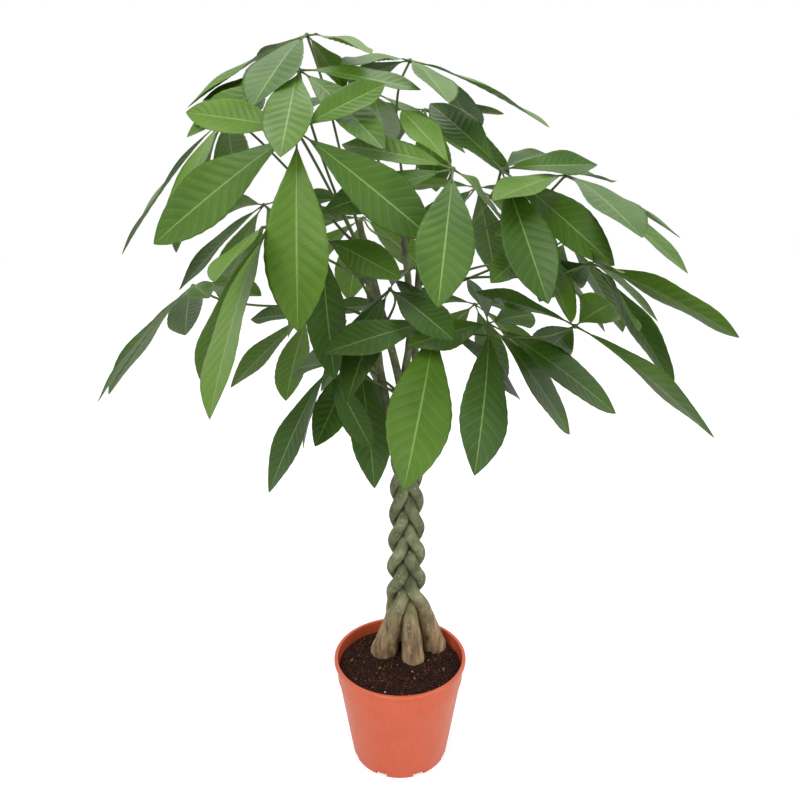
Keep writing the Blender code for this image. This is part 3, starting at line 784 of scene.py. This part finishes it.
def scatter(name, material, density, size, width, flatness, seed, reach):
    """Loose pieces on a disc of soil of the given reach, made a plain mesh."""
    source = mesh_of(name + "_bed", *soil_patch(reach))
    carrier = bpy.data.objects.new("carrier", source)
    bpy.context.scene.collection.objects.link(carrier)
    modifier = carrier.modifiers.new("scatter", "NODES")
    modifier.node_group = scatter_tree(name, material)
    values = {"Density": density, "Size": size, "Width": width, "Flatness": flatness,
              "Seed": seed}
    for item in modifier.node_group.interface.items_tree:
        if item.in_out == "INPUT" and item.name in values:
            modifier[item.identifier] = values[item.name]
    graph = bpy.context.evaluated_depsgraph_get()
    mesh = bpy.data.meshes.new_from_object(carrier.evaluated_get(graph))
    bpy.data.objects.remove(carrier)
    face_out(mesh)
    print(name, len(mesh.vertices), "points")
    return finished(name, mesh, material)


def soil_patch(reach):
    points, faces, count = [], [], 40
    for i in range(count + 1):
        for j in range(count + 1):
            x, y = reach * (2 * i / count - 1), reach * (2 * j / count - 1)
            points.append((x, y, soil_height(x, y) + 0.0002))
    for i in range(count):
        for j in range(count):
            a = i * (count + 1) + j
            middle = (points[a][0] + reach / count, points[a][1] + reach / count)
            if math.hypot(*middle) < reach:
                faces.append((a, a + count + 1, a + count + 2, a + 1))
    return points, faces


scatter("soil_crumbs", peat, 90000.0, 0.0016, 0.7, 0.8, 3, 0.074)
scatter("soil_lumps", peat, 9000.0, 0.0034, 0.7, 0.7, 5, 0.071)
scatter("peat_fibres", fibre, 9000.0, 0.0050, 0.09, 0.09, 11, 0.070)
scatter("bark_chips", chip, 1700.0, 0.0032, 0.5, 0.3, 7, 0.069)
scatter("perlite_grains", perlite, 900.0, 0.0011, 0.7, 0.9, 9, 0.070)


# %% [markdown]
# ## Floor, light and camera
#
# A pale floor takes a soft shadow. The camera and shiny surfaces see a white surround, while the lamps stay
# moderate, so that each colour renders about as it is written.

# %% Studio
def studio():
    floor_mesh = mesh_of("floor", [(-6, -6, 0), (6, -6, 0), (6, 6, 0), (-6, 6, 0)], [(0, 1, 2, 3)])
    material, tree, shader = principled("white_paper_floor", 0.9)
    shader.inputs["Base Color"].default_value = (0.80, 0.80, 0.80, 1)
    path = node(tree, "ShaderNodeLightPath")
    glow = node(tree, "ShaderNodeMath", {"operation": "MULTIPLY"}, _0=(path, 0), _1=0.53)
    tree.links.new(glow.outputs[0], shader.inputs["Emission Strength"])
    shader.inputs["Emission Color"].default_value = (1, 1, 1, 1)
    floor_mesh.materials.append(material)
    floor = bpy.data.objects.new("floor", floor_mesh)
    bpy.context.scene.collection.objects.link(floor)
    floor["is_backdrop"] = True
    world = bpy.data.worlds.new("surround")
    bpy.context.scene.world = world
    world.use_nodes = True
    tree = world.node_tree
    tree.nodes.clear()
    path = node(tree, "ShaderNodeLightPath")
    seen = node(tree, "ShaderNodeMath", {"operation": "MAXIMUM"}, _0=(path, 0), _1=(path, 3))
    light = node(tree, "ShaderNodeBackground", Color=(1.0, 0.985, 0.955, 1), Strength=0.62)
    white = node(tree, "ShaderNodeBackground", Color=(1, 1, 1, 1), Strength=1.0)
    both = node(tree, "ShaderNodeMixShader", _0=(seen, 0), _1=(light, 0), _2=(white, 0))
    node(tree, "ShaderNodeOutputWorld", Surface=(both, 0))


def lamp(name, place, aim, size, power):
    light = bpy.data.lights.new(name, "AREA")
    light.shape, light.size, light.energy = "DISK", size, power
    obj = bpy.data.objects.new(name, light)
    bpy.context.scene.collection.objects.link(obj)
    obj.location = place
    obj.rotation_euler = (Vector(aim) - Vector(place)).to_track_quat("-Z", "Y").to_euler()


studio()
CROWN = (0, 0, 0.6)
CAMERA_LENS, CAMERA_PITCH = 33.64, 16.7     # millimetres, degrees below level
lamp("key", (-0.9, -1.6, 2.2), CROWN, 1.2, 26)
lamp("fill", (1.6, -1.2, 1.4), CROWN, 1.4, 12)
lamp("top", (0.1, 0.5, 2.4), CROWN, 1.6, 16)

camera_data = bpy.data.cameras.new("camera")
camera_data.lens, camera_data.sensor_width = CAMERA_LENS, 36.0
camera = bpy.data.objects.new("camera", camera_data)
bpy.context.scene.collection.objects.link(camera)
camera.location = (0.0, -0.8346, 0.7348)
camera.rotation_euler = (math.radians(90 - CAMERA_PITCH), 0, 0)
bpy.context.scene.camera = camera
bpy.context.scene.view_settings.view_transform = "Standard"
print("camera at", tuple(camera.location))


# %% Sizes, and done
visual_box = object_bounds()
for corner, plain in zip(visual_box, cad_box):
    print("past the frame's box (mm):", [round(1000 * (a - b), 1) for a, b in zip(corner, plain)])
